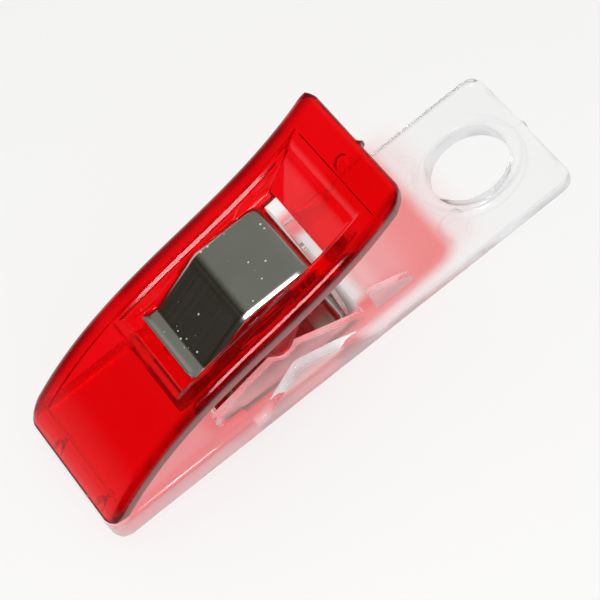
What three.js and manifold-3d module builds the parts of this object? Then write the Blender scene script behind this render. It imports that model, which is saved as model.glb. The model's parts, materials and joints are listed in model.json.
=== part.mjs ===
// Sprung craft clip: a clear flat base, a translucent lever that rocks on it, and one flat steel C spring.
// Millimetres. x runs from the jaws (0) to the tail, y across the clip and z up. The clip stands closed on its base.
import * as THREE from 'three';
import { mergeVertices } from 'three/addons/utils/BufferGeometryUtils.js';
import Module from 'manifold-3d';

const wasm = await Module();
wasm.setup();

// whole clip
const clipLength = 55;
const clipWidth = 18;
const cornerRadius = 1.8;
const gap = 0.3; // running clearance between pieces
const smallStep = 0.05; // for finding where two lines meet
const past = 1; // how far a cutting solid runs past what it cuts

// base
const plateThick = 1.5;
const padLength = 16.9; // raised jaw pad at the front
const padRise = 0.7;
const holeDiameter = 8.4;
const holeFromTail = 6.7;
const collarWidth = 1.35;
const collarRise = 0.3;
const earThick = 1.1;
const earFront = 4.9; // foot of the ear ahead of the pivot
const earRear = 7.9;
const earKnee = [0.54, 0.53]; // where the ear's rear edge bends, as shares of its length and height
const ribThick = 0.9;
const ribAhead = 0.7; // the rib's start ahead of the spring's lips
const ribNose = 1.2; // its height above the jaw pad there
const ribCrest = 0.4; // its top above the rocker's lowest line
const ribTail = 0.5; // its height above the plate at the rear
const gussetBehind = 1; // the gusset's start behind the window
const gussetLength = 4.3;
const gussetRise = 2.6;
const gussetTail = 0.8; // its height at the rear

// fulcrum, where the lever rocks
const pivotX = 23.2;
const pivotHeight = 5.9;
const rockerRadius = 1.3;

// lever
const leverFront = 0.1;
const leverTail = 40.5;
const noseTip = 0.1; // the top curve's start above the nose's flat foot
const crownHeights = [12.4, 8.1, 15.1]; // the other evenly spaced control heights of the lever's top curve
const rimThick = 1.6;
const webThick = 1.2; // thinner web between the rims
const rimWidth = 1.8;
const tailBar = 3.2;
const noseBar = 2.4;
const pocketWall = 1.3;
const pocketFloor = 1.2;
const pocketRamp = 3.8; // run-out of the pocket behind the window
const pocketAhead = 1.3; // the pocket's start ahead of the lip's groove
const boxAhead = 1; // the start of the pocket's box ahead of the pocket
const floorDips = [0.1, 0.2, 0.2]; // how far the floor leaves the strip: at the crest, window front and rear
const windowAhead = 3.1; // from the window's front to the closed end's upright
const windowBehind = 1.2; // from the closed end's back to the window's rear

// spring
const springWidth = 10.2;
const springThick = 0.4;
const bendRadius = 1.5; // to the middle of the strip
const lipFront = 14.7;
const lipLength = 1.6;
const lipHeight = 7.5; // heights are to the middle of the strip
const lipRise = 0.1;
const crestX = 22.1;
const crestHeight = 10.1;
const armHeight = 10.25;
const heelX = 30.3; // the closed end's upright
const lowLipHeight = 0.95;
const lowArmHeight = 0.4;
const lowCrestX = 21.5;

const springHalf = springWidth / 2;
const windowHalf = springHalf + gap;
const pocketHalf = windowHalf + gap;
const boxHalf = pocketHalf + pocketWall;
const windowFront = heelX - windowAhead;
const windowRear = heelX + springThick / 2 + windowBehind;
const jawTop = plateThick + padRise;

// helpers

function solid(geometry) {
  geometry.deleteAttribute('normal');
  geometry.deleteAttribute('uv');
  const merged = mergeVertices(geometry, 1e-4);
  const vertProperties = new Float32Array(merged.attributes.position.array);
  const triVerts = new Uint32Array(merged.index.array);
  return new wasm.Manifold(new wasm.Mesh({ numProp: 3, vertProperties, triVerts }));
}

function shapeOf(points) {
  return new THREE.Shape(points.map(([x, y]) => new THREE.Vector2(x, y)));
}

// an outline in x and z, carried across the clip from yLow to yHigh
function slab(points, yLow, yHigh) {
  const geometry = new THREE.ExtrudeGeometry(shapeOf(points), { depth: yHigh - yLow, bevelEnabled: false });
  geometry.rotateX(Math.PI / 2);
  geometry.translate(0, yHigh, 0);
  return solid(geometry);
}

// the same outline on both sides of the clip, between two distances from its middle
function slabPair(points, inner, outer) {
  return slab(points, inner, outer).add(slab(points, -outer, -inner));
}

// a plan outline with rounded corners, carried from zLow to zHigh
function roundedPlate(xLow, xHigh, width, radius, zLow, zHigh) {
  const half = width / 2;
  const shape = new THREE.Shape();
  shape.moveTo(xLow + radius, -half);
  shape.lineTo(xHigh - radius, -half);
  shape.absarc(xHigh - radius, radius - half, radius, -Math.PI / 2, 0);
  shape.lineTo(xHigh, half - radius);
  shape.absarc(xHigh - radius, half - radius, radius, 0, Math.PI / 2);
  shape.lineTo(xLow + radius, half);
  shape.absarc(xLow + radius, half - radius, radius, Math.PI / 2, Math.PI);
  shape.lineTo(xLow, radius - half);
  shape.absarc(xLow + radius, radius - half, radius, Math.PI, Math.PI * 1.5);
  const depth = zHigh - zLow;
  const geometry = new THREE.ExtrudeGeometry(shape, { depth, bevelEnabled: false, curveSegments: 6 });
  geometry.translate(0, 0, zLow);
  return solid(geometry);
}

function box(xLow, xHigh, halfWidth, zLow, zHigh) {
  const geometry = new THREE.BoxGeometry(xHigh - xLow, halfWidth * 2, zHigh - zLow);
  geometry.translate((xLow + xHigh) / 2, 0, (zLow + zHigh) / 2);
  return solid(geometry);
}

function uprightCylinder(x, radius, zLow, zHigh) {
  const geometry = new THREE.CylinderGeometry(radius, radius, zHigh - zLow, 48);
  geometry.rotateX(Math.PI / 2);
  geometry.translate(x, 0, (zLow + zHigh) / 2);
  return solid(geometry);
}

function crossCylinder(x, z, radius, length) {
  const geometry = new THREE.CylinderGeometry(radius, radius, length, 40);
  geometry.translate(x, 0, z);
  return solid(geometry);
}

function arcPoints(x, z, radius, from, to, steps) {
  return Array.from({ length: steps + 1 }, (_, i) => {
    const angle = from + (to - from) * i / steps;
    return [x + radius * Math.cos(angle), z + radius * Math.sin(angle)];
  });
}

// the lever's top: a cubic curve of height over length, bowed up at the jaws and hollow towards the tail
function crown(x) {
  const t = x / leverTail;
  const a = jawTop + gap + noseTip;
  const [b, c, d] = crownHeights;
  const s = 1 - t;
  return a * s ** 3 + 3 * b * s * s * t + 3 * c * s * t * t + d * t ** 3;
}

function crownPoints(from, to, drop, steps = 24) {
  return Array.from({ length: steps + 1 }, (_, i) => {
    const x = from + (to - from) * i / steps;
    return [x, crown(x) - drop];
  });
}

// where the lever's underside, drop below its top, comes down to the flat of the nose
function noseEnd(drop) {
  let x = leverFront;
  while (crown(x) - drop < jawTop + gap) x += smallStep;
  return x;
}

// height of a line of points, which run rearwards, at x
function heightAt(line, x) {
  const next = Math.max(1, line.findIndex((point) => point[0] >= x));
  const [fromX, fromZ] = line[next - 1];
  const [toX, toZ] = line[next];
  return fromZ + (toZ - fromZ) * (x - fromX) / (toX - fromX);
}

function makeBase() {
  const half = clipWidth / 2;
  const holeX = clipLength - holeFromTail;
  const earTop = pivotHeight - rockerRadius - gap / 2;
  const ribTop = pivotHeight - rockerRadius + ribCrest;
  const saddleRear = ribTop - gap;
  const ribInner = boxHalf - ribThick;
  const ribFront = lipFront - ribAhead;
  const root = plateThick / 2; // side walls start inside the plate

  let base = roundedPlate(0, clipLength, clipWidth, cornerRadius, 0, plateThick);
  const pad = roundedPlate(0, clipLength, clipWidth, cornerRadius, root, jawTop);
  base = base.add(pad.intersect(box(-past, padLength, clipWidth, 0, jawTop + past)));
  base = base.add(uprightCylinder(holeX, holeDiameter / 2 + collarWidth, root, plateThick + collarRise));
  base = base.add(slabPair([
    [pivotX - earFront, root],
    [pivotX + earRear, root],
    [pivotX + earRear, plateThick],
    [pivotX + earRear * earKnee[0], plateThick + (earTop - plateThick) * earKnee[1]],
    [pivotX, earTop],
    [pivotX - earFront, plateThick],
  ], half - earThick, half));
  base = base.add(slabPair([
    [ribFront, root],
    [pivotX + earRear, root],
    [pivotX + earRear, plateThick + ribTail],
    [pivotX + rockerRadius, saddleRear],
    [pivotX, saddleRear],
    [pivotX, ribTop],
    [pivotX - rockerRadius, ribTop],
    [ribFront, jawTop + ribNose],
  ], ribInner, boxHalf));
  const gussetFront = windowRear + gussetBehind;
  base = base.add(slabPair([
    [gussetFront, root],
    [gussetFront + gussetLength, root],
    [gussetFront + gussetLength, plateThick + gussetTail],
    [gussetFront, plateThick + gussetRise],
  ], ribInner, boxHalf));

  base = base.subtract(crossCylinder(pivotX, pivotHeight, rockerRadius + gap, clipWidth + 2 * past));
  base = base.subtract(uprightCylinder(holeX, holeDiameter / 2, -past, plateThick + collarRise + past));
  base = base.subtract(box(windowFront - gap, windowRear - gap, windowHalf, -past, pivotHeight));
  const channelTop = lowArmHeight + springThick / 2 + gap;
  const grooveTop = lowLipHeight + springThick / 2 + gap;
  base = base.subtract(slab([
    [lipFront - gap, -past],
    [windowRear - gap, -past],
    [windowRear - gap, channelTop],
    [lowCrestX, channelTop],
    [lipFront + lipLength + gap, grooveTop],
    [lipFront - gap, grooveTop],
  ], -windowHalf, windowHalf));
  return base;
}

function makeLever() {
  const half = clipWidth / 2;
  const foot = jawTop + gap;
  const floorDrop = springThick / 2 + gap;
  const [crestDip, frontDip, rearDip] = floorDips;
  const floor = [
    [lipFront - gap, lipHeight - floorDrop],
    [lipFront + lipLength, lipHeight - floorDrop],
    [crestX, crestHeight - floorDrop - crestDip],
    [windowFront, armHeight - floorDrop - frontDip],
    [windowRear, armHeight - floorDrop + rearDip],
  ];
  const rampEnd = windowRear + pocketRamp;
  const pocketFront = lipFront - gap - pocketAhead;
  const boxFront = pocketFront - boxAhead;

  const roof = crown(leverTail) + past;

  const rimProfile = [
    ...crownPoints(leverFront, leverTail, 0),
    ...crownPoints(noseEnd(rimThick), leverTail, rimThick).reverse(),
    [leverFront, foot],
  ];
  let lever = slab(rimProfile, -half, half);
  const coffer = [
    ...crownPoints(noseBar, leverTail - tailBar, webThick),
    ...crownPoints(noseBar, leverTail - tailBar, rimThick + 2 * past).reverse(),
  ];
  lever = lever.subtract(slab(coffer, rimWidth - half, half - rimWidth));
  lever = lever.intersect(roundedPlate(leverFront, leverTail, clipWidth, cornerRadius, 0, roof));

  // the pocket's box hangs under the web and carries the two rocker ribs
  const boxOutline = [
    [boxFront, crown(boxFront) - webThick / 2],
    [boxFront, crown(boxFront) - webThick],
    ...floor.map(([x, z]) => [x, z - pocketFloor]),
    [rampEnd, crown(rampEnd) - webThick],
    ...crownPoints(boxFront, rampEnd, webThick / 2).reverse().slice(0, -1),
  ];
  lever = lever.add(slab(boxOutline, -boxHalf, boxHalf));
  const floorMiddle = floor.map(([x, z]) => [x, z - pocketFloor / 2]);
  const flank = rockerRadius * Math.SQRT1_2;
  // a rib's side leaves the rocker at 45 degrees and runs up into the middle of the pocket's floor
  const flankTop = (side) => {
    let out = flank;
    while (pivotHeight - 2 * flank + out < heightAt(floorMiddle, pivotX + side * out)) out += smallStep;
    return [pivotX + side * out, pivotHeight - 2 * flank + out];
  };
  const rocker = [
    ...arcPoints(pivotX, pivotHeight, rockerRadius, -Math.PI * 0.75, -Math.PI * 0.25, 10),
    flankTop(1),
    flankTop(-1),
  ];
  lever = lever.add(slabPair(rocker, boxHalf - ribThick, boxHalf));

  lever = lever.subtract(slab([
    [pocketFront, roof],
    [pocketFront, crown(pocketFront)],
    ...floor,
    [rampEnd, crown(rampEnd)],
    [rampEnd, roof],
  ], -pocketHalf, pocketHalf));
  lever = lever.subtract(box(windowFront, windowRear, windowHalf, 0, roof));
  return lever;
}

// spring

// the strip's middle line from the upper lip, round the closed end, to the lower lip
function springLine() {
  const bendX = heelX - bendRadius;
  return [
    [lipFront, lipHeight + lipRise],
    [lipFront + lipLength, lipHeight],
    [crestX, crestHeight],
    ...arcPoints(bendX, armHeight - bendRadius, bendRadius, Math.PI / 2, 0, 10),
    ...arcPoints(bendX, lowArmHeight + bendRadius, bendRadius, 0, -Math.PI / 2, 10),
    [lowCrestX, lowArmHeight],
    [lipFront + lipLength, lowLipHeight],
    [lipFront, lowLipHeight],
  ];
}

// the line moved sideways by a distance, with mitred corners
function offsetLine(line, distance) {
  return line.map(([x, z], i) => {
    const before = line[Math.max(i - 1, 0)];
    const after = line[Math.min(i + 1, line.length - 1)];
    const into = new THREE.Vector2(x - before[0], z - before[1]).normalize();
    const out = new THREE.Vector2(after[0] - x, after[1] - z).normalize();
    if (i === 0) into.copy(out);
    if (i === line.length - 1) out.copy(into);
    const along = into.clone().add(out).normalize();
    const reach = distance / Math.max(along.dot(into), 0.5);
    return [x - along.y * reach, z + along.x * reach];
  });
}

function makeSpring() {
  const line = springLine();
  const outer = offsetLine(line, springThick / 2);
  const inner = offsetLine(line, -springThick / 2).reverse();
  return slab([...outer, ...inner], -springHalf, springHalf);
}

// assembly

function pieceMesh(name, manifold, material) {
  const { vertProperties, triVerts } = manifold.getMesh();
  const geometry = new THREE.BufferGeometry();
  geometry.setAttribute('position', new THREE.BufferAttribute(new Float32Array(vertProperties), 3));
  geometry.setIndex(new THREE.BufferAttribute(new Uint32Array(triVerts), 1));
  geometry.computeVertexNormals();
  const mesh = new THREE.Mesh(geometry, material);
  mesh.name = name;
  return mesh;
}

const clearPlastic = new THREE.MeshStandardMaterial({
  color: 0xe9ecec, roughness: 0.12, metalness: 0, transparent: true, opacity: 0.35,
});
const redPlastic = new THREE.MeshStandardMaterial({
  color: 0xe0060f, roughness: 0.15, metalness: 0, transparent: true, opacity: 0.85,
});
const brightSteel = new THREE.MeshStandardMaterial({ color: 0xc4c4bd, roughness: 0.18, metalness: 1 });

const clip = new THREE.Group();
clip.add(pieceMesh('base', makeBase(), clearPlastic));
clip.add(pieceMesh('lever', makeLever(), redPlastic));
clip.add(pieceMesh('spring', makeSpring(), brightSteel));
clip.position.x = -clipLength / 2; // the row's origin is under the middle of the clip
export default clip;
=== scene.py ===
import json
import math

import bpy
import numpy as np
from mathutils import Matrix, Vector


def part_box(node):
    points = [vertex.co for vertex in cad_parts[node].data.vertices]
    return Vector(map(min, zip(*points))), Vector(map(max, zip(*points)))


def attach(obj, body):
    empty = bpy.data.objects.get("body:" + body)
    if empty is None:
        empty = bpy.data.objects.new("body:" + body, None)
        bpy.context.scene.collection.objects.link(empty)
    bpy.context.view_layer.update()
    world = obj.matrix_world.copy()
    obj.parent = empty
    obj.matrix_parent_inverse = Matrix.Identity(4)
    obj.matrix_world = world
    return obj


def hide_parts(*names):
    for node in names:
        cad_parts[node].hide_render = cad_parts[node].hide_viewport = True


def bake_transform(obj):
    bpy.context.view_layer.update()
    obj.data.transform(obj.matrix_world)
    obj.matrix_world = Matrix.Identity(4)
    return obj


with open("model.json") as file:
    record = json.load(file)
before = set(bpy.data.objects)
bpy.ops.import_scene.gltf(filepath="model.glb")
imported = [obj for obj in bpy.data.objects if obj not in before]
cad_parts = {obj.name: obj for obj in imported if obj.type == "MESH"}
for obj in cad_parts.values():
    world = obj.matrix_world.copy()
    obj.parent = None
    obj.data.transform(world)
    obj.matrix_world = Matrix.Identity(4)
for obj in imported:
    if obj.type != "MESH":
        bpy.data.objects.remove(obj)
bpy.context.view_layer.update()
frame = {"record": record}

# Shapes are worked out in millimetres, with x counted from the jaws to the tail, and are placed in the frame
# when they are added to the scene.
mm = 0.001
baseBox = np.array(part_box("base")) / mm
leverBox = np.array(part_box("lever")) / mm
springBox = np.array(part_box("spring")) / mm
jawsAt = baseBox[0][0]
hinges = {joint["name"]: joint for joint in frame["record"]["behaviour"]["joints"]}
pivotX = hinges["lever_rock"]["pos_m"][0] / mm - jawsAt
pivotZ = hinges["lever_rock"]["pos_m"][2] / mm
halfWidth = baseBox[1][1]
gap = 0.3  # running clearance between the pieces
hairline = 0.002  # how far an upright wall leans, so that it stays one height over the plan
print("frame loaded")


# Node helpers: each adds one node to a tree and links or sets what it is given.
def newNode(tree, kind, **settings):
    node = tree.nodes.new(kind)
    for key, value in settings.items():
        setattr(node, key, value)
    return node


def mathNode(tree, operation, first, second=None, clamp=False):
    node = newNode(tree, "ShaderNodeMath", operation=operation, use_clamp=clamp)
    for socket, value in zip(node.inputs, (first, second)):
        if value is None:
            continue
        if isinstance(value, bpy.types.NodeSocket):
            tree.links.new(value, socket)
        else:
            socket.default_value = value
    return node.outputs[0]


def mixColours(tree, share, first, second):
    node = newNode(tree, "ShaderNodeMix", data_type="RGBA")
    tree.links.new(share, node.inputs[0])
    for socket, value in zip([item for item in node.inputs if item.type == "RGBA"], (first, second)):
        if isinstance(value, bpy.types.NodeSocket):
            tree.links.new(value, socket)
        else:
            socket.default_value = (*value, 1)
    return [item for item in node.outputs if item.type == "RGBA"][0]


def rangeNode(tree, value, low, high):
    node = newNode(tree, "ShaderNodeMapRange")
    node.inputs["From Min"].default_value = low
    node.inputs["From Max"].default_value = high
    tree.links.new(value, node.inputs["Value"])
    return node.outputs[0]


# Camera, with angles in degrees and lengths in millimetres.
view = {
    "target": (0, 0, 3.0),
    "azimuth": 3.89,
    "elevation": 49.83,
    "roll": -35.4,
    "distance": 323.61,
    "lens": 203.68,
    "sensor": 36,
    "nearest": 10,
    "shift": (0.01318, -0.01573),
}


# The camera stands on a sphere about the target, looks at it, and is rolled about its own axis.
def makeCamera():
    azimuth, elevation, roll = (math.radians(view[key]) for key in ("azimuth", "elevation", "roll"))
    forward = Vector((
        math.sin(azimuth) * math.cos(elevation),
        math.cos(azimuth) * math.cos(elevation),
        -math.sin(elevation),
    ))
    data = bpy.data.cameras.new("camera")
    data.lens = view["lens"]
    data.sensor_width = view["sensor"]
    data.shift_x, data.shift_y = view["shift"]
    data.clip_start = view["nearest"] * mm
    camera = bpy.data.objects.new("camera", data)
    turn = forward.to_track_quat("-Z", "Y").to_matrix().to_4x4() @ Matrix.Rotation(roll, 4, "Z")
    place = Vector(view["target"]) * mm - forward * view["distance"] * mm
    camera.matrix_world = Matrix.Translation(place) @ turn
    bpy.context.scene.collection.objects.link(camera)
    bpy.context.scene.camera = camera


light = {
    "softboxes": [  # name, direction from the clip, distance in m, size in m, watts
        ("overhead", (-0.09, -0.16, 0.98), 0.60, 0.08, 2.3),
        ("besideIt", (-0.27, -0.18, 0.95), 0.60, 0.11, 0.62),
    ],
    "skyLow": (0.90, 0.90, 0.91),
    "skyHigh": (0.27, 0.275, 0.25),
    "skyDark": (0.030, 0.023, 0.015),
    "darkSide": (-0.27, 0.0),  # along world X, where the upper sky goes from dark to high
    "line": (-0.39, 0.06, 0.2),  # a thin lighter line in the dark: its world X, half width and strength
    "lowSky": (0.22, 0.46),  # along world Z, where the low sky goes over to the upper one
    "floor": (0.89, 0.89, 0.895),
    "floorRough": 0.9,
    "floorReach": 2.0,  # m
    "floorDrop": 0.02,  # mm
    "bounces": 32,  # a clear plate passes light on inside it many times
}


def makeLight():
    for name, direction, distance, size, watts in light["softboxes"]:
        data = bpy.data.lights.new(name, "AREA")
        data.shape = "DISK"
        data.size = size
        data.energy = watts
        lamp = bpy.data.objects.new(name, data)
        lamp.location = Vector(direction).normalized() * distance
        lamp.rotation_euler = Vector(direction).to_track_quat("Z", "Y").to_euler()
        bpy.context.scene.collection.objects.link(lamp)

    world = bpy.data.worlds.new("studio")
    bpy.context.scene.world = world
    world.use_nodes = True
    tree = world.node_tree
    tree.nodes.clear()
    where = newNode(tree, "ShaderNodeTexCoord")
    split = newNode(tree, "ShaderNodeSeparateXYZ")
    tree.links.new(where.outputs["Generated"], split.inputs[0])
    lineX, lineHalf, lineStrength = light["line"]
    fromLine = mathNode(tree, "ABSOLUTE", mathNode(tree, "SUBTRACT", split.outputs["X"], lineX))
    line = mathNode(tree, "MULTIPLY", rangeNode(tree, fromLine, lineHalf, 0.0), lineStrength)
    sideways = mathNode(tree, "ADD", rangeNode(tree, split.outputs["X"], *light["darkSide"]), line)
    upward = rangeNode(tree, split.outputs["Z"], *light["lowSky"])
    high = mixColours(tree, sideways, light["skyDark"], light["skyHigh"])
    glow = newNode(tree, "ShaderNodeBackground")
    out = newNode(tree, "ShaderNodeOutputWorld")
    tree.links.new(mixColours(tree, upward, light["skyLow"], high), glow.inputs["Color"])
    tree.links.new(glow.outputs[0], out.inputs["Surface"])


def makeFloor():
    reach, drop = light["floorReach"], -light["floorDrop"] * mm
    corners = [(-reach, -reach, drop), (reach, -reach, drop), (reach, reach, drop), (-reach, reach, drop)]
    mesh = bpy.data.meshes.new("floor")
    mesh.from_pydata(corners, [], [(0, 1, 2, 3)])
    floor = bpy.data.objects.new("floor", mesh)
    bpy.context.scene.collection.objects.link(floor)
    paper = bpy.data.materials.new("paper")
    paper.use_nodes = True
    shader = paper.node_tree.nodes["Principled BSDF"]
    shader.inputs["Base Color"].default_value = (*light["floor"], 1)
    shader.inputs["Roughness"].default_value = light["floorRough"]
    shader.inputs["Specular IOR Level"].default_value = 0.0
    tree = paper.node_tree
    mix = newNode(tree, "ShaderNodeMixShader")  # open from below, so that the underside can be looked at
    tree.links.new(newNode(tree, "ShaderNodeNewGeometry").outputs["Backfacing"], mix.inputs[0])
    tree.links.new(shader.outputs[0], mix.inputs[1])
    tree.links.new(newNode(tree, "ShaderNodeBsdfTransparent").outputs[0], mix.inputs[2])
    tree.links.new(mix.outputs[0], tree.nodes["Material Output"].inputs["Surface"])
    mesh.materials.append(paper)


makeCamera()
makeLight()
makeFloor()
bpy.context.scene.view_settings.view_transform = "Standard"
for kind in ("max_bounces", "glossy_bounces", "transmission_bounces", "transparent_max_bounces"):
    setattr(bpy.context.scene.cycles, kind, light["bounces"])
print("camera, light and floor ready")


# Both mouldings are heights over a plan grid. These are the places of its lines over a quarter round, as
# shares of the radius: every 15 degrees and one line past it for outer edges, and every 30 for inner walls.
edgeSteps = np.array([0, 0.034, 0.134, 0.293, 0.5, 0.741, 1, 1.4])
wallSteps = np.array([0, 0.134, 0.5, 1])


# Grid lines on both sides of an upright wall.
def wallLines(position, radius):
    offsets = hairline + radius * wallSteps
    return np.concatenate([position - offsets, position + offsets])


# Grid lines on one side of an open edge, towards side +1 or -1.
def edgeLines(position, radius, side):
    return position + side * radius * edgeSteps


# Grid lines at an even step, from one distance before a place to another behind it.
def closeLines(position, before, behind, step):
    return np.arange(position - before, position + behind, step)


# All special lines from low to high, sorted, with even ones put in wherever two are more than step apart.
def gridLines(low, high, special, step):
    lines = np.unique(np.clip(np.concatenate([[low, high], *special]), low, high))
    lines = lines[np.concatenate([[True], np.diff(lines) > hairline / 2])]
    lines[-1] = high
    runs = [
        np.linspace(start, end, max(1, math.ceil((end - start) / step)), endpoint=False)
        for start, end in zip(lines[:-1], lines[1:])
    ]
    return np.concatenate([*runs, [high]])


# Quarter round: 0 at a radius away from the wall and 1 at the wall, which is one minus the root of one minus
# near squared, where near goes from 0 to 1 over the same way.
def roundDrop(distance, radius):
    near = np.clip(1 - distance / radius, 0, 1)
    return 1 - np.sqrt(1 - near ** 2)


# Height a where across is negative and b where it is positive, with a quarter round on both sides that takes
# at most half of the step.
def wall(a, b, across, radius):
    reach = np.sign(a - b) * np.minimum(radius, np.abs(a - b) / 2)
    drop = reach * roundDrop(np.maximum(np.abs(across) - hairline, 0), radius)
    return np.where(across < 0, a - drop, b + drop)


# How far a surface has dropped where it rolls off: it eases into the slope over a short way, then keeps it.
def rollOff(into, ease, slope):
    into = np.maximum(into, 0)
    return slope * np.where(into < ease, into ** 2 / (2 * ease), into - ease / 2)


# Height along a line of points, averaged over a short stretch each way so that its corners are soft.
def softLine(x, points, reach=0.12):
    xs, zs = np.array(points, dtype=float).T
    shares = np.linspace(-1, 1, 9)
    return sum(np.interp(x + reach * share, xs, zs) for share in shares) / shares.size


# In each corner of the plan a square is squeezed to a quarter disc: each of the two ways out is multiplied
# by the root of one minus half of the other's square.
def roundCorners(x, y, low, high, half, radius):
    middleX = np.clip(x, low + radius, high - radius)
    middleY = np.clip(y, radius - half, half - radius)
    outX = (x - middleX) / radius
    outY = (y - middleY) / radius
    return (
        middleX + radius * outX * np.sqrt(1 - outY ** 2 / 2),
        middleY + radius * outY * np.sqrt(1 - outX ** 2 / 2),
    )


markWall = 0.14  # how wide the sloping wall of a round mark is


# A round mark: 1 inside the radius and 0 outside, with a wall of three squares less two cubes of the share.
def roundMark(x, y, centreX, centreY, radius):
    share = np.clip((radius - np.hypot(x - centreX, y - centreY)) / markWall * 0.5 + 0.5, 0, 1)
    return share * share * (3 - 2 * share)


# A broken gate: a bell-shaped bulge in an end's edge, the exponential of minus twice the square of the way
# across over its half width, made ragged by sine waves and faded out as a square further in.
def gateBulge(y, fromEnd, gate):
    ragged = 1
    for height, waves, shift in gate["waves"]:
        ragged = ragged + height * np.sin(y * waves + shift)
    bell = gate["reach"] * np.exp(-((y - gate["y"]) / gate["half"]) ** 2 * 2)
    return bell * ragged * np.clip(1 - fromEnd / gate["fade"], 0, 1) ** 2


# The plan grid from its lines along x and over half the width, which are mirrored to the other half.
def planGrid(xLines, yHalf):
    return np.meshgrid(xLines, np.concatenate([-yHalf[:0:-1], yHalf]), indexing="ij")


# The middle of each cell of the grid, with y as the distance from the middle line.
def cellMiddles(gridX, gridY):
    return (gridX[:-1, :-1] + gridX[1:, 1:]) / 2, np.abs(gridY[:-1, :-1] + gridY[1:, 1:]) / 2


# Adds a mesh in the part's frame. The rim is one number for each point, 1 where the material has an edge; by
# it the materials paint shade and put a coat on walls.
def addPiece(name, material, body, points, faces, rim=None):
    mesh = bpy.data.meshes.new(name)
    placed = np.array(points, dtype=float)
    placed[:, 0] += jawsAt
    mesh.from_pydata((placed * mm).tolist(), [], [list(map(int, face)) for face in faces])
    mesh.update()
    mesh.shade_smooth()
    mesh.materials.append(material)
    if rim is not None:
        mesh.attributes.new("rim", "FLOAT", "POINT").data.foreach_set("value", rim)
    piece = bpy.data.objects.new(name, mesh)
    bpy.context.scene.collection.objects.link(piece)
    if body:
        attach(piece, body)
    print(name, "made,", len(mesh.polygons), "faces")
    return piece


# A moulding: a top and a bottom height at each plan point, cells where keep is true, and an upright face
# along each cell edge that has a cell on one side only. Gives points, faces and, for each point, the edge
# value by which shade is painted and walls are coated.
def mouldingMesh(x, y, top, bottom, keep, edgePaintedShadeAndCoat):
    count = x.size
    index = np.arange(count).reshape(x.shape)
    cells = np.stack([index[:-1, :-1], index[1:, :-1], index[1:, 1:], index[:-1, 1:]], axis=-1)[keep]
    edges = cells[:, [0, 1, 1, 2, 2, 3, 3, 0]].reshape(-1, 2)
    key = edges.min(axis=1) * count + edges.max(axis=1)
    first, uses = np.unique(key, return_index=True, return_counts=True)[1:]
    rim = edges[first[uses == 1]]
    sides = np.stack([rim[:, 0] + count, rim[:, 1] + count, rim[:, 1], rim[:, 0]], axis=1)
    faces = np.concatenate([cells, cells[:, ::-1] + count, sides])
    points = np.concatenate([
        np.stack([x, y, top], axis=-1).reshape(-1, 3),
        np.stack([x, y, bottom], axis=-1).reshape(-1, 3),
    ])
    used, renumbered = np.unique(faces, return_inverse=True)
    return points[used], renumbered.reshape(faces.shape), np.tile(edgePaintedShadeAndCoat.ravel(), 2)[used]


# Materials share two node groups, one for dust and one for fine lines. Each gives one number.
def newGroup(name, inputs, output):
    group = bpy.data.node_groups.new(name, "ShaderNodeTree")
    for label, kind in inputs:
        group.interface.new_socket(label, in_out="INPUT", socket_type=kind)
    group.interface.new_socket(output, in_out="OUTPUT", socket_type="NodeSocketFloat")
    return group, group.nodes.new("NodeGroupInput"), group.nodes.new("NodeGroupOutput")


spotEdge = 14.0  # how sharply a spot of dust ends


# Dust: small round spots, one in some cells of a cell pattern, each of its own size.
def makeDustGroup():
    group, given, out = newGroup(
        "dustSpecks",
        [
            ("Vector", "NodeSocketVector"), ("Scale", "NodeSocketFloat"),
            ("Share", "NodeSocketFloat"), ("Size", "NodeSocketFloat"),
        ],
        "Mask",
    )
    cells = newNode(group, "ShaderNodeTexVoronoi", feature="F1")
    split = newNode(group, "ShaderNodeSeparateColor")
    group.links.new(given.outputs["Vector"], cells.inputs["Vector"])
    group.links.new(given.outputs["Scale"], cells.inputs["Scale"])
    group.links.new(cells.outputs["Color"], split.inputs[0])
    chosen = mathNode(group, "LESS_THAN", split.outputs["Red"], given.outputs["Share"])
    reach = mathNode(group, "MULTIPLY", split.outputs["Green"], given.outputs["Size"])
    inside = mathNode(group, "SUBTRACT", reach, cells.outputs["Distance"])
    edge = mathNode(group, "MULTIPLY", inside, spotEdge, clamp=True)
    group.links.new(mathNode(group, "MULTIPLY", edge, chosen), out.inputs["Mask"])
    return group


# Fine lines along one way of the piece: noise drawn out by the stretch it is given.
def makeLineGroup():
    group, given, out = newGroup(
        "fineLines",
        [("Vector", "NodeSocketVector"), ("Stretch", "NodeSocketVector")],
        "Height",
    )
    stretched = newNode(group, "ShaderNodeVectorMath", operation="MULTIPLY")
    noise = newNode(group, "ShaderNodeTexNoise")
    noise.inputs["Scale"].default_value = 1.0
    noise.inputs["Detail"].default_value = 5.0
    noise.inputs["Roughness"].default_value = 0.65
    group.links.new(given.outputs["Vector"], stretched.inputs[0])
    group.links.new(given.outputs["Stretch"], stretched.inputs[1])
    group.links.new(stretched.outputs[0], noise.inputs["Vector"])
    group.links.new(noise.outputs["Fac"], out.inputs["Height"])
    return group


dustGroup = makeDustGroup()
lineGroup = makeLineGroup()


def placeGroup(tree, group, vector, **values):
    node = newNode(tree, "ShaderNodeGroup", node_tree=group)
    tree.links.new(vector, node.inputs["Vector"])
    for key, value in values.items():
        node.inputs[key].default_value = value
    return node.outputs[0]


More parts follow.
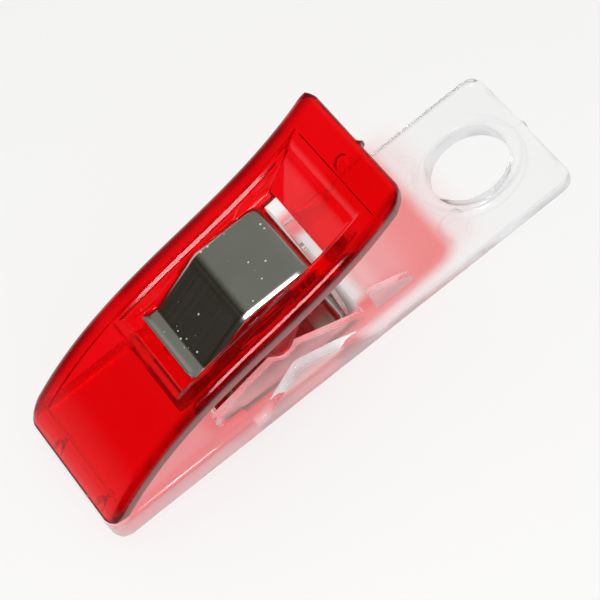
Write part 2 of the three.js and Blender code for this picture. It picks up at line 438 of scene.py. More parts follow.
plasticLook = {  # what both plastics share
    "cloudDetail": 3.0,
    "dustSize": 0.22,
    "paintedShadePatches": (0.22, 0.50),  # from bare to full, the cloud values of the blotches of painted shade in the darker rim
    "paintedRimPower": 6.0,  # the higher, the closer to the edge the rim's painted shade is dark without blotches
    "coatIor": 2.1,
    "coatRoughness": 0.35,
    "hazeGain": 1.6,
    "dustRough": 0.4,
    "wallRough": 0.45,
    "lineHeight": 0.35,
    "dustHeight": 1.5,
    "bumpDistance": 0.0002,
    "tail": (0.0060, 0.0105),  # x in metres from which the painted shadow turns to the tail's deeper one, and where it is full
}


# A moulded see-through plastic. Lamps and diffuse light pass straight through its walls, tinted, and
# everything that is looked at is bent by it.
def makePlastic(name, ownLook):
    look = {**plasticLook, **ownLook}
    material = bpy.data.materials.new(name)
    material.use_nodes = True
    tree = material.node_tree
    shader = tree.nodes["Principled BSDF"]
    out = tree.nodes["Material Output"]
    place = newNode(tree, "ShaderNodeTexCoord").outputs["Object"]

    cloud = newNode(tree, "ShaderNodeTexNoise")
    cloud.inputs["Scale"].default_value = look["cloudScale"]
    cloud.inputs["Detail"].default_value = look["cloudDetail"]
    tree.links.new(place, cloud.inputs["Vector"])
    tint = mixColours(tree, cloud.outputs["Fac"], look["deep"], look["colour"])
    dust = placeGroup(
        tree, dustGroup, place, Scale=look["dustScale"], Share=look["dustShare"], Size=look["dustSize"],
    )
    # Painted shade: towards an edge the colour is mixed with the darker rim colour, in blotches further in
    # and fully at the edge. The same rim value, above a set level, gives the walls their coat and roughness.
    rim = newNode(tree, "ShaderNodeAttribute", attribute_name="rim").outputs["Fac"]
    paintedShadePatches = rangeNode(tree, cloud.outputs["Fac"], *look["paintedShadePatches"])
    wide = mathNode(tree, "MULTIPLY", rangeNode(tree, rim, 0.0, look["paintedRimFull"]), paintedShadePatches)
    shade = mathNode(tree, "MAXIMUM", wide, mathNode(tree, "POWER", rim, look["paintedRimPower"]))
    tint = mixColours(tree, shade, tint, look["rim"])
    tree.links.new(mixColours(tree, dust, tint, look["dust"]), shader.inputs["Base Color"])
    shader.inputs["Specular Tint"].default_value = (*look["gloss"], 1)
    wallOnly = rangeNode(tree, rim, look["wallFrom"], 1.0)
    tree.links.new(wallOnly, shader.inputs["Coat Weight"])
    shader.inputs["Coat IOR"].default_value = look["coatIor"]
    shader.inputs["Coat Roughness"].default_value = look["coatRoughness"]

    shader.inputs["Transmission Weight"].default_value = look["transmission"]
    shader.inputs["IOR"].default_value = look["ior"]
    shader.inputs["Metallic"].default_value = 0.0
    haze = mathNode(tree, "MULTIPLY", cloud.outputs["Fac"], look["roughness"] * look["hazeGain"])
    dusty = mathNode(tree, "MULTIPLY", dust, look["dustRough"])
    worn = mathNode(tree, "ADD", dusty, mathNode(tree, "MULTIPLY", wallOnly, look["wallRough"]))
    tree.links.new(mathNode(tree, "ADD", haze, worn), shader.inputs["Roughness"])

    lines = placeGroup(tree, lineGroup, place, Stretch=look["flow"])
    flow = mathNode(tree, "MULTIPLY", lines, look["lineHeight"])
    height = mathNode(tree, "ADD", flow, cloud.outputs["Fac"])
    height = mathNode(tree, "ADD", height, mathNode(tree, "MULTIPLY", dust, look["dustHeight"]))
    bump = newNode(tree, "ShaderNodeBump")
    bump.inputs["Strength"].default_value = look["bump"]
    bump.inputs["Distance"].default_value = look["bumpDistance"]
    tree.links.new(height, bump.inputs["Height"])
    tree.links.new(bump.outputs["Normal"], shader.inputs["Normal"])

    # Painted shadow: what passes straight through is tinted by place, from the shadow colour to the deeper
    # tail shadow colour towards the tail.
    clear = newNode(tree, "ShaderNodeBsdfTransparent")
    split = newNode(tree, "ShaderNodeSeparateXYZ")
    tree.links.new(place, split.inputs[0])
    tail = rangeNode(tree, split.outputs["X"], *look["tail"])
    tree.links.new(mixColours(tree, tail, look["shadow"], look["tailShadow"]), clear.inputs["Color"])
    ray = newNode(tree, "ShaderNodeLightPath")
    through = mathNode(tree, "MAXIMUM", ray.outputs["Is Shadow Ray"], ray.outputs["Is Diffuse Ray"])
    mix = newNode(tree, "ShaderNodeMixShader")
    tree.links.new(through, mix.inputs[0])
    tree.links.new(shader.outputs[0], mix.inputs[1])
    tree.links.new(clear.outputs[0], mix.inputs[2])
    tree.links.new(mix.outputs[0], out.inputs["Surface"])
    if look["absorbs"]:
        body = newNode(tree, "ShaderNodeVolumeAbsorption")
        body.inputs["Color"].default_value = (*look["absorbColour"], 1)
        body.inputs["Density"].default_value = look["absorbs"]
        tree.links.new(body.outputs[0], out.inputs["Volume"])
    return material


redLook = {
    "colour": (1.0, 0.014, 0.030),
    "deep": (0.97, 0.008, 0.016),
    "dust": (1.0, 0.45, 0.42),
    # painted shade: the dark red mixed in near the lever's long sides and ends
    "rim": (0.20, 0.006, 0.010),
    "paintedRimFull": 0.6,  # value of the rim from which its blotches of painted shade are fully dark
    "wallFrom": 0.93,  # value of the rim from which the wall is coated and rough
    "gloss": (1.0, 0.42, 0.45),
    # shadow tints that lamps pass through with: the general one, and a deeper one painted on under the tail
    "shadow": (0.975, 0.925, 0.93),
    "tailShadow": (1.0, 0.56, 0.60),
    "absorbs": 1100.0,  # density for each metre, so that long ways through the plastic are darker
    "absorbColour": (0.965, 0.06, 0.10),
    "transmission": 0.97,
    "ior": 1.45,
    "roughness": 0.10,
    "cloudScale": 140.0,
    "dustScale": 620.0,
    "dustShare": 0.05,
    "flow": (60.0, 1400.0, 60.0),
    "bump": 0.05,
}

clearLook = {
    "colour": (1.0, 1.0, 1.0),
    "deep": (0.985, 0.985, 0.99),
    "dust": (0.85, 0.85, 0.85),
    # painted shade: the lilac grey mixed in along open edges, creases and standing walls
    "rim": (0.84, 0.83, 0.86),
    "paintedRimFull": 1.0,
    "wallFrom": 0.4,
    "gloss": (1.0, 1.0, 1.0),
    "shadow": (0.996, 0.996, 0.996),
    "tailShadow": (0.996, 0.996, 0.996),
    "absorbs": 0,
    "transmission": 1.0,
    "ior": 1.32,
    "roughness": 0.08,
    "cloudScale": 110.0,
    "dustScale": 520.0,
    "dustShare": 0.03,
    "flow": (60.0, 1200.0, 60.0),
    "bump": 0.03,
}

steelLook = {
    "colour": (0.60, 0.60, 0.555),
    "dull": (0.50, 0.50, 0.455),
    "dust": (0.62, 0.62, 0.56),
    "roughness": (0.10, 0.24),
    "roll": (30.0, 5200.0, 30.0),
    "bump": 0.05,
    "bumpDistance": 0.00005,
    "cloudScale": 260.0,
    "cloudDetail": 4.0,
    "dustSpots": {"Scale": 1500.0, "Share": 0.30, "Size": 0.24},
    "dustRough": 0.5,
    "burrSpots": {"Scale": 1900.0, "Share": 0.6, "Size": 0.42},
    "lipBend": springBox[0][0] + 1.75,  # where small burrs shine
    "burrReach": (0.5, 0.3),  # how far from the bend the burrs begin, and from where they are full
}


# Bright plated strip: a mirror with faint rolling lines along it, a little cloud and some dust.
def makeSteel(name, look):
    material = bpy.data.materials.new(name)
    material.use_nodes = True
    tree = material.node_tree
    shader = tree.nodes["Principled BSDF"]
    place = newNode(tree, "ShaderNodeTexCoord").outputs["Object"]
    cloud = newNode(tree, "ShaderNodeTexNoise")
    cloud.inputs["Scale"].default_value = look["cloudScale"]
    cloud.inputs["Detail"].default_value = look["cloudDetail"]
    tree.links.new(place, cloud.inputs["Vector"])
    lines = placeGroup(tree, lineGroup, place, Stretch=look["roll"])
    dust = placeGroup(tree, dustGroup, place, **look["dustSpots"])
    plate = mixColours(tree, cloud.outputs["Fac"], look["dull"], look["colour"])
    split = newNode(tree, "ShaderNodeSeparateXYZ")
    tree.links.new(place, split.inputs[0])
    fromBend = mathNode(tree, "SUBTRACT", split.outputs["X"], look["lipBend"] * mm)
    begin, full = look["burrReach"]
    atBend = rangeNode(tree, mathNode(tree, "ABSOLUTE", fromBend), begin * mm, full * mm)
    burrs = mathNode(tree, "MULTIPLY", placeGroup(tree, dustGroup, place, **look["burrSpots"]), atBend)
    dust = mathNode(tree, "MAXIMUM", dust, burrs)
    tree.links.new(mixColours(tree, dust, plate, look["dust"]), shader.inputs["Base Color"])

    tree.links.new(mathNode(tree, "SUBTRACT", 1.0, dust), shader.inputs["Metallic"])
    low, high = look["roughness"]
    rough = mathNode(tree, "ADD", mathNode(tree, "MULTIPLY", lines, high - low), low)
    dusty = mathNode(tree, "MULTIPLY", dust, look["dustRough"])
    tree.links.new(mathNode(tree, "ADD", rough, dusty), shader.inputs["Roughness"])
    bump = newNode(tree, "ShaderNodeBump")
    bump.inputs["Strength"].default_value = look["bump"]
    bump.inputs["Distance"].default_value = look["bumpDistance"]
    tree.links.new(lines, bump.inputs["Height"])
    tree.links.new(bump.outputs["Normal"], shader.inputs["Normal"])
    return material


redPlastic = makePlastic("redPlastic", redLook)
clearPlastic = makePlastic("clearPlastic", clearLook)
brightSteel = makeSteel("brightSteel", steelLook)
print("materials ready")


# The strip, from its upper lip over the crest and the closed end to the lower lip. Heights are of its
# middle line.
strip = {
    "thick": 0.4,
    "wider": 1.028,  # than the CAD's strip
    "lipLength": 1.6,
    "lipZ": 7.5,
    "crest": (22.1, 10.1),
    "armZ": 10.25,
    "lowArmZ": 0.4,
    "lowLipZ": 0.95,
    "lowCrestX": 21.5,
    "bends": [1.6, 1.1, 3.6, 1.8, 1.5, 1.5, 0.9],  # radius of each bend, in the same order
    "lipCorner": 0.95,
    "lipRise": (0.12, 0.55),  # how far the upper lip has risen at its middle and at its front edge
    "edgeRound": 0.13,
    "edgeRoll": (0.7, 0.2, 0.42),  # each long edge rolls down: how far in, over how far it eases, the slope
    "heelLoss": 0.3,  # share of that roll which is lost at the closed end
    "endLoss": 0.85,  # share of the thickness which is lost at the very ends
    "spacing": 0.3,  # of the lines along it
    "linesAcross": 41,
    "softBend": (1.4, 5.5),  # heights between which the real strip's closed end bends as the lever is pressed
}
springFront = springBox[0][0] - jawsAt
springRear = springBox[1][0] - jawsAt
springHalf = springBox[1][1]
heelX = springRear - strip["thick"] / 2


# Lines across the strip lie close together near each end, where its lips are rounded.
endLines = np.array([0, 0.01, 0.03, 0.06, 0.1, 0.16, 0.25, 0.36, 0.5, 0.7])
endReach = 0.9
fewestInArc = 6


# A line of points with each inner corner replaced by an arc that touches both of its sides. Gives the points
# and how far along the line each is.
def roundedPath(points, radii, spacing):
    points = np.array(points, dtype=float)
    path = [points[:1]]
    for corner, before, after, radius in zip(points[1:-1], points[:-2], points[2:], radii):
        into = (corner - before) / np.linalg.norm(corner - before)
        out = (after - corner) / np.linalg.norm(after - corner)
        turn = math.acos(np.clip(into @ out, -1, 1))
        centre = corner + (out - into) / np.linalg.norm(out - into) * radius / math.cos(turn / 2)
        start = corner - into * radius * math.tan(turn / 2) - centre
        way = math.copysign(1, into[0] * out[1] - into[1] * out[0])
        angles = way * np.linspace(0, turn, max(fewestInArc, math.ceil(turn * radius / spacing * 2)))
        path.append(centre + np.stack([
            start[0] * np.cos(angles) - start[1] * np.sin(angles),
            start[0] * np.sin(angles) + start[1] * np.cos(angles),
        ], axis=1))
    path.append(points[-1:])
    path = np.concatenate(path)
    along = np.concatenate([[0], np.cumsum(np.linalg.norm(np.diff(path, axis=0), axis=1))])
    inside = along[(along > endReach) & (along < along[-1] - endReach)]
    even = np.arange(endReach, along[-1] - endReach, spacing)
    where = np.unique(np.concatenate([endLines, even, inside, along[-1] - endLines]))
    return np.stack([np.interp(where, along, values) for values in path.T], axis=1), where


# The strip's section, a flat rectangle with round corners, carried along the middle line. Near each end it
# gets narrower and thinner as a quarter round, which rounds the lips.
def makeStrip():
    lip = springFront + strip["lipLength"]
    midRise, frontRise = strip["lipRise"]
    points = [
        (springFront, strip["lipZ"] + frontRise),
        (springFront + strip["lipLength"] / 2, strip["lipZ"] + midRise),
        (lip, strip["lipZ"]), strip["crest"], (heelX, strip["armZ"]), (heelX, strip["lowArmZ"]),
        (strip["lowCrestX"], strip["lowArmZ"]), (lip, strip["lowLipZ"]), (springFront, strip["lowLipZ"]),
    ]
    path, along = roundedPath(points, strip["bends"], strip["spacing"])
    tangent = np.gradient(path, along, axis=0)
    tangent /= np.linalg.norm(tangent, axis=1, keepdims=True)
    normal = np.stack([-tangent[:, 1], tangent[:, 0]], axis=1)

    half, thin, edge = springHalf * strip["wider"], strip["thick"] / 2, strip["edgeRound"]
    quarter = np.radians(np.linspace(0, 90, 5))
    turns = np.concatenate([quarter, quarter + math.pi / 2, quarter + math.pi, quarter + 1.5 * math.pi])
    cornerY = np.repeat([half - edge, edge - half, edge - half, half - edge], quarter.size)
    cornerN = np.repeat([thin - edge, thin - edge, edge - thin, edge - thin], quarter.size)
    arcY = np.split(cornerY + edge * np.cos(turns), [quarter.size, 3 * quarter.size])
    arcN = np.split(cornerN + edge * np.sin(turns), [quarter.size, 3 * quarter.size])
    across = (half - edge) * np.sin(np.linspace(-math.pi / 2, math.pi / 2, strip["linesAcross"]))[1:-1]
    flat = np.full(across.size, thin)
    loopY = np.concatenate([arcY[0], across[::-1], arcY[1], across, arcY[2]])
    loopN = np.concatenate([arcN[0], flat, arcN[1], -flat, arcN[2]])

    fromEnd = np.minimum(along, along[-1] - along)
    narrow = half - strip["lipCorner"] * roundDrop(fromEnd, strip["lipCorner"])
    thinner = 1 - strip["endLoss"] * roundDrop(fromEnd, edge)
    y = loopY[None, :] * (narrow / half)[:, None]
    rollFrom, ease, slope = strip["edgeRoll"]
    towardsHeel = np.clip((path[:, :1] - strip["crest"][0]) / (heelX - strip["crest"][0]), 0, 1)
    left = 1 - strip["heelLoss"] * towardsHeel ** 2
    roll = rollOff(np.abs(y) - half + rollFrom, ease, slope) * left
    n = loopN[None, :] * thinner[:, None] - roll
    x = path[:, :1] + normal[:, :1] * n
    z = path[:, 1:] + normal[:, 1:] * n
    rows, ring = x.shape
    index = np.arange(rows * ring).reshape(rows, ring)
    ahead = np.roll(index, -1, axis=1)
    faces = np.stack([index[:-1], index[1:], ahead[1:], ahead[:-1]], axis=-1).reshape(-1, 4).tolist()
    faces += [index[0].tolist(), index[-1][::-1].tolist()]
    return np.stack([x, y, z], axis=-1).reshape(-1, 3), faces


springPiece = addPiece("steelStrip", brightSteel, None, *makeStrip())
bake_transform(springPiece)
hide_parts("spring")


# The lever. Places with close grid lines are listed at the end, each with how far the lines reach before and
# behind the place and their step.
lever = {
    "corner": 1.9,
    "crownHeights": (2.6, 12.4, 8.1, 15.1),  # control heights of its top, from the nose to the tail
    "rimThick": 1.6,
    "webThick": 1.2,
    "rimWidth": 1.8,
    "tailBar": 3.2,
    "noseBar": 2.4,
    "foot": 2.5,  # height of the nose's flat underside
    "pocketAhead": 1.3,  # how far ahead of the strip's clearance the pocket starts
    "boxAhead": 1.0,  # and its box ahead of that
    "floorDips": (0.1, 0.2, -0.2),  # extra depth of the pocket's floor at the crest, window front and rear
    "windowAhead": 3.1,  # how far the window starts ahead of the strip's upright, and ends behind the strip
    "windowBehind": 1.2,
    "pocketWall": 1.3,
    "pocketFloor": 1.2,
    "pocketRamp": 3.8,
    "ribThick": 0.9,
    "rocker": 1.3,
    "topRound": 0.45,
    "lowRound": 0.3,
    "innerRound": 0.32,
    "pocketRound": 0.2,
    "windowRound": 0.12,
    "roundShare": 0.45,  # the most of a wall's height that one round may take
    "pocketRoll": 0.8,  # how far out from the pocket the top starts to slope towards it
    "outerRoll": 0.9,  # the same from the outer edge
    "rolls": (0.25, 0.48),  # over how far each slope eases in, and the slope
    "sideShade": 1.3,  # how far in from the long sides the red is painted darker as shade, and the same from the ends
    "endShade": 0.3,
    "mark": (38.4, 0.0, 0.7, 0.32),  # x, y, radius, depth of the round mark under the tail
    "gate": {  # the broken gate on the tail's edge: each wave has a height, waves for each mm and a shift
        "y": -0.5, "half": 0.4, "reach": 0.32, "fade": 0.5, "waves": ((0.35, 17, 0), (0.2, 41, 1)),
    },
    "step": 0.5,
    "frontLines": (1.3, 0.6, 0.12),
    "rampLines": (0.5, 0.5, 0.12),
    "ribLines": (3.2, 4.8, 0.16),
    "markLines": (1.6, 1.6, 0.2),
    "markSideLines": (0, 1.8, 0.2),
    "pocketRollLines": (0, 1, 0.1),
    "outerRollLines": (1, 0, 0.1),
}
leverFront = leverBox[0][0] - jawsAt
leverTail = leverBox[1][0] - jawsAt
windowHalf = springHalf + gap
pocketHalf = windowHalf + gap
boxHalf = pocketHalf + lever["pocketWall"]
windowFront = heelX - lever["windowAhead"]
windowRear = springRear + lever["windowBehind"]


# Crown: a cubic curve of height over length, from four evenly spaced control heights.
def crown(x):
    t = np.asarray(x) / leverTail
    a, b, c, d = lever["crownHeights"]
    return a * (1 - t) ** 3 + 3 * b * t * (1 - t) ** 2 + 3 * c * t * t * (1 - t) + d * t ** 3


# The lever's top and underside as heights over its plan, then rounded in plan and at its edges.
def makeLever():
    inner, rib = lever["innerRound"], boxHalf - lever["ribThick"]
    windowRound = lever["windowRound"]
    pocketFront = springFront - gap - lever["pocketAhead"]
    rampEnd = windowRear + lever["pocketRamp"]
    markX, markY, markRadius, markDepth = lever["mark"]
    frontReach, lipReach, frontStep = lever["frontLines"]
    xLines = gridLines(leverFront, leverTail, [
        edgeLines(leverFront, lever["topRound"], 1), edgeLines(leverTail, lever["topRound"], -1),
        wallLines(lever["noseBar"], inner), wallLines(leverTail - lever["tailBar"], inner),
        edgeLines(windowFront, windowRound, -1), edgeLines(windowRear, windowRound, 1),
        np.arange(pocketFront - frontReach, springFront + lipReach, frontStep),
        closeLines(pivotX, *lever["ribLines"]), closeLines(rampEnd, *lever["rampLines"]),
        closeLines(markX, *lever["markLines"]),
    ], lever["step"])
    yHalf = gridLines(0, halfWidth, [
        edgeLines(halfWidth, lever["topRound"], -1), wallLines(halfWidth - lever["rimWidth"], inner),
        wallLines(boxHalf, inner), wallLines(rib, inner), wallLines(pocketHalf, lever["pocketRound"]),
        closeLines(pocketHalf, *lever["pocketRollLines"]), closeLines(halfWidth, *lever["outerRollLines"]),
        edgeLines(windowHalf, windowRound, 1), closeLines(0, *lever["markSideLines"]),
    ], lever["step"])
    gridX, gridY = planGrid(xLines, yHalf)
    side = np.abs(gridY)
    fromEdge = np.minimum(halfWidth - side, np.minimum(gridX - leverFront, leverTail - gridX))
    height = crown(gridX)

    # top: the crown with the pocket sunk in it, its floor just below the strip
    floorDrop = strip["thick"] / 2 + gap
    crestX, crestZ = strip["crest"]
    crestDip, frontDip, rearDip = lever["floorDips"]
    floorPoints = [
        (springFront - gap, strip["lipZ"] - floorDrop),
        (springFront + strip["lipLength"], strip["lipZ"] - floorDrop),
        (crestX, crestZ - floorDrop - crestDip),
        (windowFront, strip["armZ"] - floorDrop - frontDip),
        (windowRear, strip["armZ"] - floorDrop - rearDip),
    ]
    pocketLine = [(pocketFront, crown(pocketFront)), *floorPoints, (rampEnd, crown(rampEnd))]
    floorZ = np.minimum(softLine(gridX, pocketLine), height)
    inPocket = np.minimum(pocketHalf - side, np.minimum(gridX - pocketFront, rampEnd - gridX))
    ease, slope = lever["rolls"]
    height = height - rollOff(np.minimum(inPocket, 0) + lever["pocketRoll"], ease, slope)
    height = height - rollOff(lever["outerRoll"] - fromEdge, ease, slope)
    top = wall(height, np.minimum(floorZ, height), inPocket, lever["pocketRound"])

    # underside: rim, thinner web, flat nose, the pocket's box and the two rocker ribs
    inCoffer = np.minimum(
        halfWidth - lever["rimWidth"] - side,
        np.minimum(gridX - lever["noseBar"], leverTail - lever["tailBar"] - gridX),
    )
    web = wall(crown(gridX) - lever["rimThick"], crown(gridX) - lever["webThick"], inCoffer, inner)
    web = np.maximum(web, lever["foot"])
    boxFront = pocketFront - lever["boxAhead"]
    boxLine = [(boxFront, crown(boxFront) - lever["webThick"])]
    boxLine += [(x, z - lever["pocketFloor"]) for x, z in floorPoints]
    boxLine += [(rampEnd, crown(rampEnd) - lever["webThick"])]
    within = (gridX > boxFront) & (gridX < rampEnd)
    boxZ = np.where(within, np.minimum(softLine(gridX, boxLine), web), web)
    fromPivot = np.abs(gridX - pivotX)
    flank = lever["rocker"] * math.sqrt(0.5)
    ball = pivotZ - np.sqrt(np.maximum(lever["rocker"] ** 2 - np.minimum(fromPivot, flank) ** 2, 0))
    ribZ = np.minimum(boxZ, ball + np.maximum(fromPivot - flank, 0))
    bottom = np.where(
        side < boxHalf - lever["ribThick"] / 2,
        wall(boxZ, ribZ, side - rib, inner),
        wall(ribZ, web, side - boxHalf, inner),
    )
    bottom = bottom + markDepth * roundMark(gridX, gridY, markX, markY, markRadius)

    # rounded outer and window edges, never more than the wall there allows
    fromWindow = np.maximum(side - windowHalf, np.maximum(windowFront - gridX, gridX - windowRear))
    room = (top - bottom) * lever["roundShare"]
    outerTop = np.minimum(lever["topRound"], room) * roundDrop(fromEdge, lever["topRound"])
    outerLow = np.minimum(lever["lowRound"], room) * roundDrop(fromEdge, lever["topRound"])
    atWindow = np.minimum(windowRound, room) * roundDrop(np.maximum(fromWindow, 0), windowRound)
    top = top - outerTop - atWindow
    bottom = bottom + outerLow + atWindow

    x, y = roundCorners(gridX, gridY, leverFront, leverTail, halfWidth, lever["corner"])
    x = x + gateBulge(y, leverTail - gridX, lever["gate"])
    # painted shade, darker towards the long sides and the ends, goes out with the mesh as its rim value
    sidePaintedShade = np.clip(1 - (halfWidth - side) / lever["sideShade"], 0, 1)
    endPaintedShade = np.clip(1 - np.minimum(gridX - leverFront, leverTail - gridX) / lever["endShade"], 0, 1)
    middleX, middleY = cellMiddles(gridX, gridY)
    keep = ~((middleX > windowFront) & (middleX < windowRear) & (middleY < windowHalf))
    return mouldingMesh(x, y, top, bottom, keep, np.maximum(sidePaintedShade, endPaintedShade))


leverPiece = addPiece("redLever", redPlastic, "lever", *makeLever())
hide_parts("lever")


# The base. Close grid lines are listed at the end: over the saddles as in the lever, and over the round
# marks and holes from the first value to the second, with their step.
base = {
    "corner": 1.8,
    "plate": 1.5,
    "padLength": 16.9,
    "padRise": 0.7,
    "earThick": 1.1,
    "earFront": 4.9,
    "earRear": 7.9,
    "earSoft": 0.25,  # how far each way its line is averaged
    "earKnee": (0.54, 0.53),  # shares of the ear's rear length and of its height
    "ribThick": 0.9,
    "ribAhead": 0.7,  # how far ahead of the strip the ribs start
    "ribNose": 1.2,  # their height over the jaw pad there
    "ribCrest": 0.4,  # over the rocker's underside at the pivot
    "ribStep": 0.05,  # length of the step down behind the pivot
    "ribTail": 0.5,  # and over the plate at their rear
    "ribSoft": 0.06,
    "gussetBehind": 1.0,  # how far behind the window the gussets start
    "gussetLength": 4.3,
    "gussetRise": 2.6,
    "gussetTail": 0.8,
    "gussetSoft": 0.05,
    "holeRadius": 4.2,
    "holeFromTail": 6.7,
    "collarWidth": 1.35,
    "ringMargin": 0.05,
    "collarRise": 0.42,
    "outerRound": 0.6,
    "lowerShare": 0.7,  # share of each edge's round that the underside has too
    "holeRound": 0.42,
    "collarRound": 0.45,
    "innerRound": 0.22,
    "wallRound": 0.2,
    "rearMarks": (43.3, 4.78, 1.5, 0.22),  # x, distance from the middle, radius, depth
    "frontHoles": (1.7, 4.35, 0.62, 1.1),  # the same for the two blind holes in the underside
    "gate": {"y": 0.2, "half": 0.5, "reach": 0.3, "fade": 0.3, "waves": ((0.3, 19, 0),)},
    "standing": 0.3,  # height from which a wall counts as standing
    "edgeShade": 0.3,  # how far from an open edge grey shade is painted
    "creaseFade": 0.11,  # how much less that is at the rings' edges, and at standing walls
    "uprightFade": 0.04,
    "step": 0.6,
    "sideStep": 0.5,
    "saddleLines": (2.1, 2.1, 0.25),
    "frontHoleLines": (0.9, 2.5, 0.13),
    "rearMarkLines": (41.6, 45.0, 0.2),
    "markSideLines": (3.3, 6.4, 0.17),
    "rings": 5,  # between the circle about the hole and the square around it
    "holeRings": 9,
}


# About the hole, square rings of the grid are drawn in to circles by the ratio of the two distances, which
# eases back to one further out.
def roundHole(x, y, centreX, circleTo, squareFrom):
    awayX, awayY = x - centreX, y
    ring = np.maximum(np.abs(awayX), np.abs(awayY))
    distance = np.maximum(np.hypot(awayX, awayY), 1e-9)
    share = np.clip((squareFrom - ring) / (squareFrom - circleTo), 0, 1)
    scale = 1 + share * (ring / distance - 1)
    return centreX + awayX * scale, awayY * scale


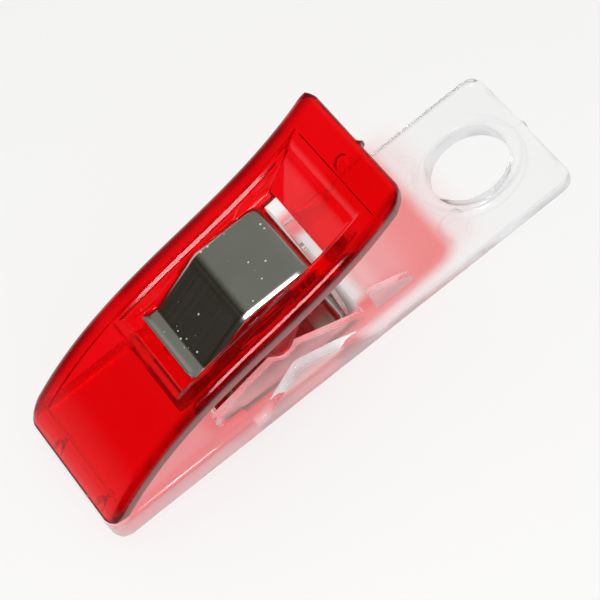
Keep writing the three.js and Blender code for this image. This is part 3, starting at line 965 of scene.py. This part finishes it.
# The base's top and underside as heights over its plan, then rounded in plan, about the hole and at its
# edges.
def makeBase():
    length = baseBox[1][0] - baseBox[0][0]
    inner, soft, holeRound = base["innerRound"], base["wallRound"], base["holeRound"]
    holeX = length - base["holeFromTail"]
    collar = base["holeRadius"] + base["collarWidth"]
    jawTop = base["plate"] + base["padRise"]
    ribIn = boxHalf - base["ribThick"]
    ribFront = springFront - base["ribAhead"]
    ribRear = pivotX + base["earRear"]
    gussetFront = windowRear + base["gussetBehind"]
    gussetRear = gussetFront + base["gussetLength"]
    openFront, openRear = windowFront - gap, windowRear - gap
    earIn = halfWidth - base["earThick"]
    circleTo, squareFrom = collar + base["ringMargin"], base["holeFromTail"] - base["ringMargin"]
    ringLines = np.concatenate([
        edgeLines(base["holeRadius"], holeRound, 1), wallLines(collar, base["collarRound"]),
        np.linspace(circleTo, squareFrom, base["rings"]),
        np.linspace(0, base["holeRadius"], base["holeRings"]),
    ])
    xLines = gridLines(0, length, [
        edgeLines(0, base["outerRound"], 1), edgeLines(length, base["outerRound"], -1),
        wallLines(base["padLength"], soft), wallLines(ribFront, inner), wallLines(springFront - gap, inner),
        wallLines(ribRear, inner), wallLines(gussetFront, inner), wallLines(gussetRear, inner),
        wallLines(pivotX, base["ribStep"]), edgeLines(openFront, inner, -1), edgeLines(openRear, inner, 1),
        closeLines(pivotX, *base["saddleLines"]), np.arange(*base["frontHoleLines"]),
        holeX + ringLines, holeX - ringLines, np.arange(*base["rearMarkLines"]),
    ], base["step"])
    yHalf = gridLines(0, halfWidth, [
        edgeLines(halfWidth, base["outerRound"], -1), wallLines(earIn, inner), wallLines(boxHalf, inner),
        wallLines(ribIn, inner), edgeLines(windowHalf, inner, 1), edgeLines(windowHalf, inner, -1),
        ringLines, np.arange(*base["markSideLines"]),
    ], base["sideStep"])
    gridX, gridY = planGrid(xLines, yHalf)
    side = np.abs(gridY)
    x, y = roundCorners(gridX, gridY, 0, length, halfWidth, base["corner"])
    x, y = roundHole(x, y, holeX, circleTo, squareFrom)
    fromHole = np.maximum(np.abs(gridX - holeX), side)

    # top: plate, jaw pad, ears, ribs with their saddles, gussets and the collar of the hole
    plate = np.full_like(gridX, base["plate"])
    floor = wall(np.full_like(gridX, jawTop), plate, gridX - base["padLength"], soft)
    floor = wall(floor + base["collarRise"], floor, fromHole - collar, base["collarRound"])
    saddleRadius = lever["rocker"] + gap
    fromPivot = np.abs(gridX - pivotX)
    saddle = pivotZ - np.sqrt(np.maximum(saddleRadius ** 2 - np.minimum(fromPivot, saddleRadius) ** 2, 0))
    saddle = np.where(fromPivot < saddleRadius, saddle, np.inf)
    earTop = pivotZ - lever["rocker"] - gap / 2
    kneeX, kneeZ = base["earKnee"]
    ear = softLine(gridX, [
        (pivotX - base["earFront"], base["plate"]), (pivotX, earTop),
        (pivotX + base["earRear"] * kneeX, base["plate"] + (earTop - base["plate"]) * kneeZ),
        (ribRear, base["plate"]),
    ], base["earSoft"])
    ear = np.minimum(np.maximum(ear, floor), saddle)
    ribTop = pivotZ - lever["rocker"] + base["ribCrest"]
    rib = softLine(gridX, [
        (ribFront, jawTop + base["ribNose"]), (pivotX - lever["rocker"], ribTop), (pivotX, ribTop),
        (pivotX + base["ribStep"], ribTop - gap), (pivotX + lever["rocker"], ribTop - gap),
        (ribRear, base["plate"] + base["ribTail"]),
    ], base["ribSoft"])
    rib = np.minimum(rib, saddle)
    gusset = softLine(gridX, [
        (gussetFront, base["plate"] + base["gussetRise"]), (gussetRear, base["plate"] + base["gussetTail"]),
    ], base["gussetSoft"])
    rail = wall(floor, rib, np.minimum(gridX - ribFront, ribRear - gridX), inner)
    rail = np.where(
        gridX > (ribRear + gussetFront) / 2,
        wall(floor, gusset, np.minimum(gridX - gussetFront, gussetRear - gridX), inner),
        rail,
    )
    top = np.where(
        side < (ribIn + boxHalf) / 2,
        wall(floor, rail, side - ribIn, inner),
        wall(rail, floor, side - boxHalf, inner),
    )
    atEar = side > (boxHalf + earIn) / 2
    top = np.where(atEar, wall(floor, ear, side - earIn, inner), top)
    standing = np.where(atEar, ear, rail) - floor > base["standing"]

    # underside: flat, with the channel for the strip's lower arm, and the round marks on both sides
    channelTop = strip["lowArmZ"] + strip["thick"] / 2 + gap
    grooveTop = strip["lowLipZ"] + strip["thick"] / 2 + gap
    channel = softLine(gridX, [
        (springFront - gap, grooveTop), (springFront + strip["lipLength"] + gap, grooveTop),
        (strip["lowCrestX"], channelTop), (openRear, channelTop),
    ])
    inChannel = np.minimum(windowHalf - side, np.minimum(gridX - springFront + gap, openRear - gridX))
    bottom = wall(np.zeros_like(gridX), channel, inChannel, inner)
    markX, markY, radius, depth = base["rearMarks"]
    holesX, holesY, holesRadius, holesDepth = base["frontHoles"]
    for way in (-1, 1):
        top = top - depth * roundMark(x, y, markX, way * markY, radius)
        bottom = bottom + holesDepth * roundMark(x, y, holesX, way * holesY, holesRadius)

    # rounded outer, window and hole edges
    fromEdge = np.minimum(halfWidth - side, np.minimum(gridX, length - gridX))
    fromWindow = np.maximum(side - windowHalf, np.maximum(openFront - gridX, gridX - openRear))
    edge = base["outerRound"] * roundDrop(fromEdge, base["outerRound"])
    edge = edge + inner * roundDrop(np.maximum(fromWindow, 0), inner)
    edge = edge + holeRound * roundDrop(np.maximum(fromHole - base["holeRadius"], 0), holeRound)
    top = top - edge
    bottom = bottom + edge * base["lowerShare"]

    # how far each point is from an open edge, or from a crease or standing wall, which count as further off;
    # grey shade is painted near each of them
    fromMark = np.abs(np.hypot(x - markX, np.abs(y) - markY) - radius)
    creases = np.minimum(fromMark, np.abs(fromHole - collar)) + base["creaseFade"]
    uprights = np.minimum(np.minimum(np.abs(side - earIn), np.abs(side - boxHalf)), np.abs(side - ribIn))
    creases = np.minimum(creases, uprights + np.where(standing, base["uprightFade"], np.inf))
    atOpenEdge = np.minimum(np.minimum(fromEdge, np.abs(fromHole - base["holeRadius"])), creases)

    x = x + gateBulge(y, length - gridX, base["gate"])
    middleX, middleY = cellMiddles(gridX, gridY)
    window = (middleX > openFront) & (middleX < openRear) & (middleY < windowHalf)
    hole = np.maximum(np.abs(middleX - holeX), middleY) < base["holeRadius"]
    edgePaintedShadeAndCoat = np.clip(1 - atOpenEdge / base["edgeShade"], 0, 1)
    return mouldingMesh(x, y, top, bottom, ~(window | hole), edgePaintedShadeAndCoat)


basePiece = addPiece("clearBase", clearPlastic, "base", *makeBase())
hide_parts("base")
